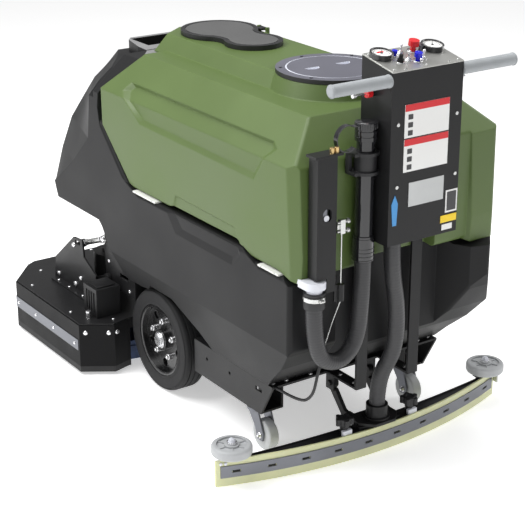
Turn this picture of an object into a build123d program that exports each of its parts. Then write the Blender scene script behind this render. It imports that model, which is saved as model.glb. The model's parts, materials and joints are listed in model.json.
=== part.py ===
from build123d import *
import math
import os

# Walk-behind floor scrubber in millimetres: +Z up, the front towards -Y, the machine's left
# towards +X. The origin lies on the floor, at the middle of the machine's length and width.

# ---- driving dimensions ----
half_length = 782.5

wheel_radius = 153.5
wheel_width = 74.0
wheel_outer_x = 300.0
axle_y = -23.0
axle_radius = 14.0

rail_x = 283.0
rail_bottom = 119.0
pan_bottom = 213.0
pan_top = 219.0
pan_rear = 533.0
sheet = 6.0

caster_x = 250.0
caster_swivel_y = 425.0
caster_trail = 33.0
caster_radius = 43.0
caster_width = 30.0

tank_x = 333.0
crease_z = 375.0
seam_z = 600.0
pad_thickness = 5.0
tank_wall = 7.0
shoulder_z = 864.0
ledge_x = 225.0
ledge_z = 960.0
platform_z = 1000.0
platform_x = 120.0
nose_top_z = 940.0
nose_rear = -300.0
port_half_width = 118.0
port_front = -452.0
port_rear = -346.0

lid_top = 1014.0
big_lobe_y = -150.0
big_lobe_radius = 112.0
small_lobe_y = 25.0
small_lobe_radius = 83.0
lid_x = -6.0
lid_hinge_x = -125.0
lid_hinge_z = 1008.5
waist_radius = 60.0
waist_offset = 129.0
waist_y = -36.4
round_lid_y = 396.0
round_lid_radius = 148.0

column_x = 111.0
column_front = 661.0
column_rear = 778.0
column_bottom = 652.0
panel_front_z = 1113.0
panel_rear_z = 1090.0
panel_thickness = 3.0
grip_y = 767.0
grip_z = 1067.0
grip_radius = 15.5
grip_end = 288.0

drain_tube_x = 139.5
drain_y = 719.0
drain_tube_radius = 23.0
drain_hose_radius = 21.5
outlet_x = 288.0
vacuum_hose_radius = 22.0

channel_inner_x = 238.0
channel_outer_x = 296.0
channel_bottom = 553.0
channel_top = 899.0
wire_x = 222.0
wire_y = 738.0

port_y = 622.0
rear_arc_y = 652.0
rear_arc_radius = 1373.0
front_arc_y = 598.0
front_arc_radius = 3090.0
squeegee_half = 481.0
squeegee_pivot_y = 505.0
squeegee_pivot_z = 165.0
bumper_x = 437.0
bumper_y = 573.0
bumper_z = 105.0
bumper_radius = 54.0
bumper_width = 28.0

deck_x = 450.0
deck_top = 165.0
brush_x = 215.0
brush_y = -445.0
brush_radius = 212.0
arm_pivot_y = -330.0
arm_pivot_z = 245.0
link_pivot_z = 375.0
arm_reach_y = -148.0
arm_reach_z = -59.0

running = 0.06


# ---- helpers ----
def face_of(points, inset=0.0):
    face = make_face(Polyline(*points, close=True))
    if inset:
        face = offset(face, amount=-inset, kind=Kind.INTERSECTION)
    return face


def slab_x(outline, x0, x1, inset=0.0):
    points = [(x0, y, z) for y, z in outline]
    return extrude(face_of(points, inset), amount=x1 - x0, dir=(1, 0, 0))


def slab_y(outline, y0, y1, inset=0.0):
    points = [(x, y0, z) for x, z in outline]
    return extrude(face_of(points, inset), amount=y1 - y0, dir=(0, 1, 0))


def slab_z(outline, z0, z1, inset=0.0):
    points = [(x, y, z0) for x, y in outline]
    return extrude(face_of(points, inset), amount=z1 - z0, dir=(0, 0, 1))


def block(x0, x1, y0, y1, z0, z1):
    size = (x1 - x0, y1 - y0, z1 - z0)
    return Pos((x0 + x1) / 2, (y0 + y1) / 2, (z0 + z1) / 2) * Box(*size)


def rod(start, end, radius):
    line = Vector(*end) - Vector(*start)
    base = (Align.CENTER, Align.CENTER, Align.MIN)
    return Plane(origin=start, z_dir=line) * Cylinder(radius, line.length, align=base)


def pipe(start, end, radius, bore):
    return rod(start, end, radius) - rod(start, end, bore)


def both_sides(shape):
    return shape + mirror(shape, about=Plane.YZ)


def opposite(shape):
    return mirror(shape, about=Plane.YZ)


def mirrored_outline(half):
    return half + [(-x, y) for x, y in reversed(half)]


def soften(solid, edges, radius):
    for edge in edges:
        try:
            rounded = solid.fillet(radius, [edge])
        except Exception:
            continue
        if rounded.is_valid:
            solid = rounded
    return solid


def bend_radii(points):
    radii = []
    for i in range(1, len(points) - 1):
        before = Vector(*points[i]) - Vector(*points[i - 1])
        after = Vector(*points[i + 1]) - Vector(*points[i])
        half_turn = math.radians(before.get_angle(after)) / 2
        radii.append(0.45 * min(before.length, after.length) / math.tan(half_turn))
    return radii


def hose(points, radius, name):
    radii = bend_radii(points)
    path = FilletPolyline(*points, radius=radii)
    run = Vector(*points[1]) - Vector(*points[0])
    solid = sweep(Plane(origin=points[0], z_dir=run) * Circle(radius), path)
    section = math.pi * radius**2
    ratio = solid.volume / (section * path.length)
    print(name, "length", round(path.length, 1), "bends", [round(r, 1) for r in radii])
    print(name, "volume against section times length", round(ratio, 4))
    return solid


def arc_edge(arc, half_width, z):
    centre_y, radius = arc
    y_end = centre_y + math.sqrt(radius**2 - half_width**2)
    return ThreePointArc((-half_width, y_end, z), (0, centre_y + radius, z), (half_width, y_end, z))


def arc_band(outer, inner, half_width, z0, z1):
    rear = arc_edge(outer, half_width, z0)
    front = arc_edge(inner, half_width, z0)
    left = Line(rear @ 0, front @ 0)
    right = Line(rear @ 1, front @ 1)
    return extrude(make_face([rear, right, front, left]), amount=z1 - z0, dir=(0, 0, 1))


def arc_points(arc, half_width):
    centre_y, radius = arc
    xs = [half_width * (k / 12 - 1) for k in range(25)]
    return [(x, centre_y + math.sqrt(radius**2 - x**2)) for x in xs]


def faceted_band(outer, inner, half_width, z0, z1):
    outline = arc_points(outer, half_width) + arc_points(inner, half_width)[::-1]
    return slab_z(outline, z0, z1)


# ---- control panel plane ----
panel_slope = math.atan2(panel_front_z - panel_rear_z, column_rear - column_front)
panel_normal = Vector(0, math.sin(panel_slope), math.cos(panel_slope))


def panel_z(y):
    return panel_front_z - (y - column_front) * math.tan(panel_slope)


def on_panel(x, y, lift=0.0):
    foot = Vector(x, y, panel_z(y))
    return Plane(origin=foot + panel_normal * lift, x_dir=(1, 0, 0), z_dir=panel_normal)


def panel_cylinder(x, y, lift, height, radius):
    base = (Align.CENTER, Align.CENTER, Align.MIN)
    return on_panel(x, y, lift) * Cylinder(radius, height, align=base)


# ---- chassis ----
rail_outline = [
    (156, rail_bottom), (481, rail_bottom), (533, pan_bottom), (156, pan_bottom),
]
nose_plate_outline = [
    (-352, 450), (-316, 450), (-283, 430), (-186, 297), (-176, 297), (-176, 225),
    (-350, 225), (-358, 330),
]


def chassis_frame():
    frame = block(-rail_x, rail_x, 150, pan_rear, pan_bottom, pan_top)
    frame += block(-205, 205, -182, 150, pan_bottom, pan_top)
    rail = slab_x(rail_outline, rail_x - sheet, rail_x)
    rail -= rod((rail_x - 10, 215, 180), (rail_x + 5, 215, 180), 5)
    rail -= rod((rail_x - 10, 330, 182), (rail_x + 5, 330, 182), 5)
    rail -= block(rail_x - 10, rail_x + 5, 455, 485, 184, 196)
    frame += both_sides(rail)
    frame += block(-rail_x, rail_x, 150, 156, rail_bottom, pan_bottom)
    spine = block(199, 205, -176, 150, rail_bottom, pan_bottom)
    spine -= rod((190, axle_y, wheel_radius), (215, axle_y, wheel_radius), 17)
    frame += both_sides(spine)
    frame += block(-205, 205, -182, -176, rail_bottom, pan_bottom)
    frame += block(-286, 286, -182, -176, pan_top, 297)
    frame += block(-286, 286, -560, -316, 444, 450)
    frame += both_sides(block(150, 156, -560, -316, 400, 444))
    plate = slab_x(nose_plate_outline, 280, 286)
    plate -= rod((270, arm_pivot_y, arm_pivot_z), (290, arm_pivot_y, arm_pivot_z), 10 + running)
    plate -= block(270, 290, -265, -215, 268, 282)
    plate += rod((286, arm_pivot_y, link_pivot_z), (307, arm_pivot_y, link_pivot_z), 6)
    frame += both_sides(plate)
    mount = block(215, rail_x - sheet, 370, 480, rail_bottom, rail_bottom + sheet)
    mount += block(209, 215, 370, 480, rail_bottom, pan_bottom)
    mount -= rod((caster_x, caster_swivel_y, 100), (caster_x, caster_swivel_y, 140), 8 + running)
    frame += both_sides(mount)
    lug = block(66, 72, 488, 522, 146, pan_bottom)
    lug -= rod((60, squeegee_pivot_y, squeegee_pivot_z), (80, squeegee_pivot_y, squeegee_pivot_z),
               8 + running)
    frame += both_sides(lug)
    upright = block(70, 104, pan_rear, 661, pan_bottom, pan_top)
    upright += block(70, 104, 654, 661, pan_top, 980)
    frame += both_sides(upright)
    return frame


def transaxle():
    body = block(-120, 120, -92, 46, 96, pan_bottom)
    body += rod((-150, axle_y, wheel_radius), (150, axle_y, wheel_radius), 48)
    body += rod((-305, axle_y, wheel_radius), (305, axle_y, wheel_radius), axle_radius)
    body += rod((0, -92, 154), (0, -170, 154), 42)
    return body


# ---- drive wheels ----
def tyre():
    inner = wheel_outer_x - wheel_width
    shape = pipe((inner, axle_y, wheel_radius), (wheel_outer_x, axle_y, wheel_radius),
                 wheel_radius, 108)
    for x in (inner, wheel_outer_x):
        edges = shape.edges().filter_by(GeomType.CIRCLE)
        edges = [e for e in edges if abs(e.radius - wheel_radius) < 0.1 and abs(e.center().X - x) < 1]
        shape = soften(shape, edges, 12)
    for k in range(3):
        x = inner + 20 + 17 * k
        shape -= pipe((x - 2, axle_y, wheel_radius), (x + 2, axle_y, wheel_radius), 200,
                      wheel_radius - 4)
    return shape


def rim():
    inner = wheel_outer_x - wheel_width
    shape = pipe((inner, axle_y, wheel_radius), (wheel_outer_x - 4, axle_y, wheel_radius), 108, 98)
    shape += rod((270, axle_y, wheel_radius), (278, axle_y, wheel_radius), 98)
    shape += rod((230, axle_y, wheel_radius), (294, axle_y, wheel_radius), 32)
    shape -= rod((220, axle_y, wheel_radius), (320, axle_y, wheel_radius), axle_radius + running)
    for k in range(5):
        a = math.radians(72 * k + 90)
        y = axle_y + 55 * math.cos(a)
        z = wheel_radius + 55 * math.sin(a)
        shape += rod((278, y, z), (288, y, z), 9)
    for k in range(5):
        a = math.radians(72 * k + 54)
        y = axle_y + 76 * math.cos(a)
        z = wheel_radius + 76 * math.sin(a)
        shape -= rod((265, y, z), (283, y, z), 13)
    return shape


# ---- casters ----
def caster_fork():
    fork = rod((caster_x, caster_swivel_y, 110), (caster_x, caster_swivel_y, 118), 34)
    fork += rod((caster_x, caster_swivel_y, 118), (caster_x, caster_swivel_y, 145), 8)
    fork += rod((caster_x, caster_swivel_y, 140), (caster_x, caster_swivel_y, 145), 14)
    wheel_y = caster_swivel_y + caster_trail
    side = [
        (caster_swivel_y - 26, 110), (caster_swivel_y + 26, 110), (wheel_y + 17, 52),
        (wheel_y + 13, 30), (wheel_y - 13, 30), (wheel_y - 20, 60),
    ]
    fork += slab_x(side, caster_x + 17, caster_x + 22)
    fork += slab_x(side, caster_x - 22, caster_x - 17)
    fork += rod((caster_x - 28, wheel_y, caster_radius), (caster_x + 28, wheel_y, caster_radius), 6)
    return fork


def caster_wheel():
    wheel_y = caster_swivel_y + caster_trail
    half = caster_width / 2
    start = (caster_x - half, wheel_y, caster_radius)
    end = (caster_x + half, wheel_y, caster_radius)
    wheel = pipe(start, end, caster_radius, 6 + running)
    edges = [e for e in wheel.edges().filter_by(GeomType.CIRCLE) if e.radius > 40]
    return soften(wheel, edges, 5)


# ---- lower tank ----
lower_side = [
    (nose_rear, 453), (nose_rear, nose_top_z), (-211, nose_top_z), (-271, 856), (-280, 804),
    (-273, 768), (-119, 613), (-87, seam_z), (462, seam_z), (516, 579), (640, 579), (669, 562),
    (735, 562), (737, 500), (712, 440), (668, 370), (618, 312), (556, 258), (520, 222),
    (250, 222), (203, 261), (89, 327), (-31, 327), (-50, 309), (-95, 303), (-182, 301),
    (-280, 438),
]
lower_plan = [
    (333, nose_rear), (333, 672), (322, 676), (186, 676), (180, 631), (-180, 631), (-226, 715),
    (-281, 729), (-333, 672), (-333, nose_rear),
]
# each level: height, side x, side front y, corner x and y, front x and y
nose_levels = [
    (453, 333, -560, 318, -585, 225, -640),
    (500, 333, -579, 322, -592, 230, -655),
    (600, 333, -446, 290, -597, 215, -640),
    (695, 333, -344, 262, -581, 195, -615),
    (760, 333, -336, 235, -552, 180, -592),
    (828, 333, -328, 216, -508, 165, -555),
    (868, 305, -318, 203, -464, 155, -520),
    (905, 265, -310, 180, -424, 140, -492),
]
neck_outline = [
    (-150, -300), (-150, -352), (-128, -446), (-110, -468), (110, -468), (128, -446), (150, -352),
    (150, -300),
]
lower_front = [
    (287, 222), (333, crease_z), (333, 846), (225, nose_top_z), (-225, nose_top_z),
    (-333, 846), (-333, crease_z), (-287, 222),
]
bay = (-235, 235, -60, 420, 245, 640)


def lower_block(inset):
    shape = slab_x(lower_side, -400, 400, inset)
    shape &= slab_z(lower_plan, 100, 1100, inset)
    shape &= slab_y(lower_front, -900, 900, inset)
    return shape


def nose_section(level, inset):
    z, side_x, side_y, corner_x, corner_y, front_x, front_y = level
    rear = nose_rear + 2 * inset
    half = [
        (side_x - inset, rear), (side_x - inset, side_y + inset),
        (corner_x - inset, corner_y + inset), (front_x - inset, front_y + inset),
    ]
    return face_of([(x, y, z) for x, y in mirrored_outline(half)])


def nose_block(inset):
    levels = list(nose_levels)
    if inset:
        levels[0] = (453 + inset,) + levels[0][1:]
        levels[-1] = (905 - inset,) + levels[-1][1:]
    sections = [nose_section(level, inset) for level in levels]
    shape = loft(sections[:2], ruled=True)
    for i in range(1, len(sections) - 1):
        shape += loft(sections[i:i + 2], ruled=True)
    return shape


def side_pocket():
    outer = [(85, 594), (135, 536), (423, 535), (462, 577), (456, 594)]
    inner = [(138, 596), (173, 562), (420, 562), (446, 584), (444, 596)]
    wide = face_of([(334.0, y, z) for y, z in outer])
    deep = face_of([(329.0, y, z) for y, z in inner])
    return both_sides(loft([wide, deep], ruled=True))


def solution_tank():
    shape = lower_block(0)
    long_edges = [e for e in shape.edges() if e.length > 60 and e.center().Y > nose_rear + 10]
    steep = [e for e in long_edges if abs(e.center().X) > 200 and e.center().Z > 380]
    shape = soften(shape, steep, 12)
    shape += nose_block(0)
    shape += slab_z(neck_outline, 860, nose_top_z)
    water = lower_block(tank_wall) + nose_block(tank_wall)
    margin = tank_wall
    x0, x1, y0, y1, z0, z1 = bay
    water -= block(x0 - margin, x1 + margin, y0 - margin, y1 + margin, z0 - margin, z1)
    water -= block(150, 340, 640, 740, 300, 640)
    shape -= water
    shape -= block(*bay)
    shape -= block(-port_half_width, port_half_width, port_front, port_rear, 890, 960)
    shape -= side_pocket()
    niche = rod((outlet_x, drain_y, 330), (outlet_x, drain_y, 700), 34)
    shape -= niche
    rim = slab_z(neck_outline, nose_top_z, nose_top_z + 2.5)
    rim -= block(-port_half_width, port_half_width, port_front, port_rear, 900, 960)
    shape += rim
    return shape


# ---- upper tank ----
upper_side = [
    (-267, 856), (-276, 804), (-269, 771), (-114, 618), (-82, seam_z + pad_thickness),
    (90, seam_z + pad_thickness), (112, 612), (440, 612), (458, seam_z + pad_thickness),
    (466, seam_z + pad_thickness), (520, 584), (646, 584), (698, 570), (700, 640),
    (692, shoulder_z), (603, ledge_z), (-191, ledge_z),
]
upper_plan = [
    (300, -290), (333, -255), (333, 660), (311, 700), (236, 700), (228, 688), (122, 688),
    (114, 653), (-114, 653), (-122, 688), (-228, 688), (-236, 700), (-311, 700), (-333, 660),
    (-333, -255), (-300, -290),
]
upper_front = [
    (326, 560), (333, shoulder_z), (ledge_x, ledge_z), (-ledge_x, ledge_z), (-333, shoulder_z),
    (-326, 560),
]
# the side recess: its rim on the two side planes, then its floor behind them
recess_depth = 10.0
crease_floor_z = 859.5
rim_low = [(-122, shoulder_z), (-41, 806), (523, 797), (566, shoulder_z)]
floor_low = [(-104, crease_floor_z), (-27, 820), (512, 811), (546, crease_floor_z)]
rim_high = [(-122, shoulder_z), (566, shoulder_z), (585, 888), (556, 899), (-140, 899),
            (-152, 878)]
floor_high = [(-104, crease_floor_z), (546, crease_floor_z), (563, 881), (544, 889),
              (-124, 889), (-132, 878)]


def upper_block(inset):
    shape = slab_x(upper_side, -400, 400, inset)
    shape &= slab_z(upper_plan, 500, 1100, inset)
    shape &= slab_y(upper_front, -900, 900, inset)
    return shape


def platform(inset):
    base_z = ledge_z - 10
    top_z = platform_z - inset
    base = [(158, 420), (158, -246), (66, -338)]
    top = [(platform_x, 420), (platform_x, -230), (48, -284)]
    low = face_of([(x - inset, y + (inset if y < 0 else -inset), base_z)
                   for x, y in mirrored_outline(base)])
    high = face_of([(x - inset, y + (inset if y < 0 else -inset), top_z)
                    for x, y in mirrored_outline(top)])
    deck = loft([low, high], ruled=True)
    boss = Cone(168 - inset, 147 - inset, top_z - base_z)
    return deck + Pos(0, round_lid_y, (base_z + top_z) / 2) * boss


def slope_x(z, depth):
    run = tank_x - ledge_x
    rise = ledge_z - shoulder_z
    return tank_x - (z - shoulder_z) * run / rise - depth * math.hypot(run, rise) / rise


def recess_part(rim, floor, rim_x, floor_x):
    outside = []
    for (y, z), (y2, z2) in zip(rim, floor):
        x, x2 = rim_x(z), floor_x(z2)
        outside.append((x + 0.1 * (x - x2), y + 0.1 * (y - y2), z + 0.1 * (z - z2)))
    inside = [(floor_x(z), y, z) for y, z in floor]
    return loft([face_of(outside), face_of(inside)], ruled=True)


def side_recess():
    low = recess_part(rim_low, floor_low, lambda z: tank_x, lambda z: tank_x - recess_depth)
    high = recess_part(rim_high, floor_high, lambda z: slope_x(z, 0),
                       lambda z: slope_x(z, recess_depth))
    return both_sides(low + high)


def recovery_tank():
    shape = upper_block(0)
    big = [e for e in shape.edges() if e.length > 60]
    shape = soften(shape, big, 12)
    notch_rim = face_of([(334.0, y, z) for y, z in
                         ((84, 590), (135, 657), (429, 652), (462, 612), (462, 590))])
    notch_floor = face_of([(324.0, y, z) for y, z in
                           ((122, 590), (140, 646), (424, 641), (444, 610), (444, 590))])
    shape -= both_sides(loft([notch_rim, notch_floor], ruled=True))
    shape -= side_recess()
    shape += platform(0)
    hollow = upper_block(tank_wall + recess_depth) + platform(tank_wall)
    shape -= hollow
    shape -= Pos(lid_x, big_lobe_y, platform_z) * Cylinder(92, 60)
    shape -= Pos(0, round_lid_y, platform_z) * Cylinder(121, 60)
    for y in (-121, -79):
        ear = block(lid_hinge_x - 5, lid_hinge_x + 5, y - 4, y + 4, 975, lid_hinge_z + 5)
        shape += ear
    shape += rod((lid_hinge_x, -118, lid_hinge_z), (lid_hinge_x, -82, lid_hinge_z), 2.5)
    outlet = rod((outlet_x, drain_y, 566), (outlet_x, drain_y, 586), 29)
    outlet += block(outlet_x - 29, outlet_x + 29, 690, drain_y, 566, 586)
    outlet += rod((outlet_x, drain_y, 555), (outlet_x, drain_y, 566), 20)
    shape += outlet
    return shape


def tank_pads():
    front = block(270, 337, -80, 43, seam_z, seam_z + pad_thickness)
    rear = block(270, 337, 545, 634, 579, 584)
    return both_sides(front + rear)


# ---- lids ----
def peanut(z0, z1, inset):
    middle = (z0 + z1) / 2
    height = z1 - z0
    shape = Pos(lid_x, big_lobe_y, middle) * Cylinder(big_lobe_radius - inset, height)
    shape += Pos(lid_x, small_lobe_y, middle) * Cylinder(small_lobe_radius - inset, height)
    waist = [(lid_x + 84, -76), (lid_x + 75, -10.6), (lid_x - 75, -10.6), (lid_x - 84, -76)]
    shape += slab_z(waist, z0, z1)
    for side in (-1, 1):
        hollow = Cylinder(waist_radius + inset, height + 2)
        shape -= Pos(lid_x + side * waist_offset, waist_y, middle) * hollow
    return shape


def hourglass_lid():
    z0 = platform_z + 0.5
    lid = peanut(z0, lid_top, 0)
    lid -= peanut(lid_top - 2, lid_top + 1, 12) - peanut(lid_top - 3, lid_top + 2, 15)
    lid -= block(lid_hinge_x - 10, lid_hinge_x + 5.6, -127, -73, z0 - 1, lid_top + 1)
    lid += block(lid_hinge_x, lid_hinge_x + 20, -114, -86, lid_hinge_z - 3, lid_hinge_z + 3)
    lid += rod((lid_hinge_x, -114, lid_hinge_z), (lid_hinge_x, -86, lid_hinge_z), 5)
    lid -= rod((lid_hinge_x, -116, lid_hinge_z), (lid_hinge_x, -84, lid_hinge_z), 2.5 + running)
    return lid


def round_lid():
    z0 = platform_z + 0.5
    lid = Pos(0, round_lid_y, (z0 + 1012) / 2) * Cylinder(round_lid_radius, 1012 - z0)
    lid += Pos(0, round_lid_y, 992) * Cylinder(119, 20)
    lid -= Pos(0, round_lid_y, 986) * Cylinder(112, 16)
    lid -= Pos(0, round_lid_y, 1012) * (Cylinder(122, 3) - Cylinder(118, 3))
    for x in (-50, 50):
        pocket = Pos(x, 372, 1009) * Cylinder(22, 12)
        lid -= pocket & block(x - 24, x + 24, 372, 400, 1000, 1020)
    for k in range(6):
        a = math.radians(60 * k + 30)
        lid += Pos(135 * math.cos(a), round_lid_y + 135 * math.sin(a), 1013) * Cylinder(4, 3)
    return lid


# ---- control column ----
def column_outline(inset):
    drop = panel_thickness / math.cos(panel_slope) + inset
    return [
        (column_front + inset, column_bottom + inset), (column_rear - inset, column_bottom + inset),
        (column_rear - inset, panel_rear_z - drop), (column_front + inset, panel_front_z - drop),
    ]


def control_column():
    wall = 3.0
    body = slab_x(column_outline(0), -column_x, column_x)
    inside = [
        (column_front + wall, column_bottom + wall), (column_rear - wall, column_bottom + wall),
        (column_rear - wall, 1200), (column_front + wall, 1200),
    ]
    body -= slab_x(inside, -column_x + wall, column_x - wall)
    body += rod((31, 700, 640), (31, 700, column_bottom), 26)
    body -= rod((31, 700, 630), (31, 700, column_bottom + wall), 18)
    body -= rod((-120, grip_y, grip_z), (120, grip_y, grip_z), 7.5)
    for side in (-1, 1):
        body += rod((side * column_x, 709, 1027), (side * (column_x + 8), 709, 1027), 8)
        body += rod((side * (column_x + 8), 709, 1027), (side * (column_x + 16), 709, 1027), 3)
    return body


panel_holes = [
    (43, 698, 5), (6, 742, 6), (-22, 689, 7), (-43, 694, 4), (26, 731, 6.5), (-15, 737, 6.5),
    (18, 690, 6.5),
]


def control_panel():
    outline = [
        (column_front, panel_front_z), (column_rear, panel_rear_z),
        (column_rear, panel_rear_z - panel_thickness / math.cos(panel_slope)),
        (column_front, panel_front_z - panel_thickness / math.cos(panel_slope)),
    ]
    panel = slab_x(outline, -column_x, column_x)
    for x, y, radius in panel_holes:
        panel -= panel_cylinder(x, y, -10, 20, radius)
    return panel


def gauges():
    shape = Part()
    for x in (80, -79):
        bezel = panel_cylinder(x, 694, 0, 13, 29.5)
        bezel -= panel_cylinder(x, 694, 10, 6, 25)
        shape += bezel
    shape += panel_cylinder(54, 735, 0, 9, 8)
    shape += panel_cylinder(54, 735, 9, 11, 5)
    return shape


def cover_screws():
    screws = Part()
    for x, z in ((90, 959), (-95, 960), (88, 802), (-98, 805)):
        screws += rod((x, column_rear, z), (x, column_rear + 2, z), 4.5)
    for x, y in ((-68, 772), (68, 772)):
        screws += panel_cylinder(x, y, 0, 2, 3.5)
    for x in (-230, -160, 160, 230):
        screws += rod((x, 500, pan_top), (x, 500, pan_top + 2.5), 5)
    return screws


def label_plates():
    y0 = column_rear
    plates = block(-70, 70, y0, y0 + 1.2, 836, 919)
    plates += block(-70, 70, y0, y0 + 1.2, 922, 1005)
    plates += block(-62, 50, y0, y0 + 1.2, 745, 807)
    plates += block(-109, -71, y0, y0 + 1.2, 706, 765)
    plates += block(-109, -57, y0, y0 + 1.2, 681, 700)
    plates += block(-96, -62, y0, y0 + 1.2, 661, 676)
    plates += slab_y([(86, 704), (98, 704), (103, 760), (93, 783), (83, 760)], y0, y0 + 1.2)
    return plates


def handlebar():
    return rod((-280, grip_y, grip_z), (280, grip_y, grip_z), 7.5)


def hand_grips():
    grip = pipe((column_x, grip_y, grip_z), (280, grip_y, grip_z), grip_radius, 7.5)
    grip += rod((280, grip_y, grip_z), (grip_end, grip_y, grip_z), grip_radius)
    edges = [e for e in grip.edges().filter_by(GeomType.CIRCLE) if e.center().X > 285]
    grip = soften(grip, edges, 5)
    return both_sides(grip)


def trigger(side):
    x = side * (column_x + 9)
    lever = rod((x, 709, 1027), (x + side * 14, 709, 1027), 10)
    lever += rod((x + side * 14, 709, 1027), (x + side * 46, 709, 1027), 2.5)
    lever += rod((x + side * 46, 709, 1027), (x + side * 56, 709, 1027), 5.5)
    lever -= rod((x - side * 2, 709, 1027), (x + side * 8, 709, 1027), 3 + running)
    return lever


# ---- panel controls ----
def push_button(x, y, stem, cap, lift, height):
    button = panel_cylinder(x, y, -9, lift + 9, stem - 0.3)
    button += panel_cylinder(x, y, lift, height, cap)
    return button


def key_switch():
    shape = panel_cylinder(-43, 694, -8, 9, 3.7)
    shape += panel_cylinder(-43, 694, 1, 12, 5.8)
    bar = on_panel(-43, 694, 16) * Box(4, 11, 7)
    return shape + bar


def toggle(x, y):
    shape = on_panel(x, y, 2) * Sphere(5.5)
    shape += panel_cylinder(x, y, 4, 16, 2.4)
    shape += on_panel(x, y, 21) * Sphere(4)
    return shape


# ---- left rear lift gear ----
def lift_channel():
    x0 = channel_inner_x
    x1 = channel_outer_x
    outer = block(x0, x1, 702, 738, channel_bottom, channel_top)
    outer -= block(x0 + 3, x1 - 3, 690, 735, 540, 910)
    outer += block(223, 305, 702, 742, channel_top, channel_top + 6)
    outer -= rod((outlet_x, drain_y, 500), (outlet_x, drain_y, 590), 29.5)
    outer -= block(outlet_x - 29.5, outlet_x + 29.5, 680, drain_y, 540, 590)
    hole = rod((266, 730, 757), (266, 745, 757), 13)
    hole += rod((266, 730, 749), (266, 745, 749), 13)
    outer -= hole
    outer -= block(230, 245, 716, 727, 690, 770)
    outer += block(x0 + 3, x1 - 3, 700, 704, 620, 640)
    outer += block(x0 + 3, x1 - 3, 700, 704, 860, 880)
    for x in (236, 250):
        outer += rod((x, 731, channel_top + 6), (x, 731, channel_top + 20), 6)
    arm = block(218, x0, 733, 738, 524, 568)
    arm += pipe((wire_x, wire_y, 524), (wire_x, wire_y, 568), 9, 3)
    arm -= rod((wire_x, wire_y, 520), (wire_x, wire_y, 575), 3)
    arm += block(x0, x0 + 3, 733, 738, 524, channel_bottom)
    return outer + arm


def lift_actuator():
    shape = rod((266, 719, 640), (266, 719, 890), 13.5)
    shape += rod((266, 719, 745), (266, 735, 745), 8)
    shape += rod((266, 719, 890), (266, 719, channel_top), 8)
    return shape


def lift_clevis():
    shape = block(215, 229, wire_y - 6, wire_y + 6, 700, 736)
    for z in (706, 729):
        shape += rod((205, wire_y, z), (236, wire_y, z), 3.5)
        shape += rod((203, wire_y, z), (208, wire_y, z), 6.5)
    shape += block(229, 236, 718, wire_y + 2, 712, 724)
    shape += rod((wire_x, wire_y, 529), (wire_x, wire_y, 702), 1.6)
    return shape


def cable_sheath():
    core = [(wire_x, wire_y, 523), (223, 712, 465), (224, 692, 412), (236, 688, 366)]
    shape = hose(core, 1.6, "lift cable core")
    cover = [(236, 688, 366), (252, 688, 305), (262, 684, 250), (270, 640, 216),
             (270, pan_rear, 216)]
    shape += hose(cover, 4.0, "lift cable cover")
    return shape


def hose_hanger():
    shape = Part()
    for z in (834, 882):
        ears = block(100, 182, drain_y - 14, drain_y + 14, z, z + 8)
        ears += rod((drain_tube_x, drain_y, z), (drain_tube_x, drain_y, z + 8), 34)
        shape += ears & block(column_x, 190, 688.5, 800, z, z + 8)
    shape += block(172, 182, 695, 708, 834, 890)
    shape += pipe((drain_tube_x, drain_y, 834), (drain_tube_x, drain_y, 890), 28,
                  drain_tube_radius)
    shape -= rod((drain_tube_x, drain_y, 800), (drain_tube_x, drain_y, 900), drain_tube_radius)
    return shape


def drain_tube():
    shape = rod((drain_tube_x, drain_y, 636), (drain_tube_x, drain_y, 948), drain_tube_radius)
    shape -= rod((drain_tube_x, drain_y, 640), (drain_tube_x, drain_y, 960), 19)
    shape += rod((drain_tube_x, drain_y, 610), (drain_tube_x, drain_y, 668), 27)
    shape -= rod((drain_tube_x, drain_y, 616), (drain_tube_x, drain_y, 700), 19)
    return shape


def drain_cap():
    top = 962
    shape = rod((drain_tube_x, drain_y, 918), (drain_tube_x, drain_y, top), 27.8)
    shape -= rod((drain_tube_x, drain_y, 900), (drain_tube_x, drain_y, 952), 23.4)
    for z in (930, 944):
        groove = pipe((drain_tube_x, drain_y, z - 2), (drain_tube_x, drain_y, z + 2), 40, 26)
        shape -= groove
    band = pipe((198, drain_y - 7, 930), (198, drain_y + 7, 930), 34, 31.5)
    band -= block(130, 178, 690, 750, 880, 990)
    shape += band
    shape += block(165, 182, drain_y - 7, drain_y + 7, top - 6, top - 3.5)
    return shape


drain_path = [
    (drain_tube_x, drain_y, 610), (drain_tube_x, drain_y, 520), (153, drain_y, 385),
    (215, drain_y, 340), (outlet_x, drain_y, 385), (outlet_x, drain_y, 515),
]
vacuum_path = [
    (31, 700, 640), (31, 700, 560), (-12, 678, 430), (-20, 666, 300), (0, port_y, 208),
    (0, port_y, 132),
]


def drain_hose():
    shape = hose(drain_path, drain_hose_radius, "drain hose")
    top = drain_path[-1]
    shape += rod(top, (outlet_x, drain_y, 555), 27)
    shape -= rod((outlet_x, drain_y, 530), (outlet_x, drain_y, 560), 20)
    return shape


def vacuum_hose():
    return hose(vacuum_path, vacuum_hose_radius, "vacuum hose")


# ---- inside ----
def batteries():
    shape = Part()
    for i in range(2):
        for j in range(2):
            x = -120 + 240 * i
            y = 20 + 200 * j
            shape += block(x - 105, x + 105, y - 70, y + 90, 245, 470)
            shape += rod((x - 60, y - 50, 470), (x - 60, y - 50, 485), 9)
            shape += rod((x + 60, y - 50, 470), (x + 60, y - 50, 485), 9)
    return shape


def vacuum_motor():
    shape = rod((0, 365, 245), (0, 365, 380), 48)
    shape += rod((0, 365, 380), (0, 365, 400), 30)
    return shape


# ---- squeegee ----
def rear_arc(inward):
    return rear_arc_y - rear_arc_radius, rear_arc_radius - inward


def front_arc(inward):
    return front_arc_y - front_arc_radius, front_arc_radius - inward


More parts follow.
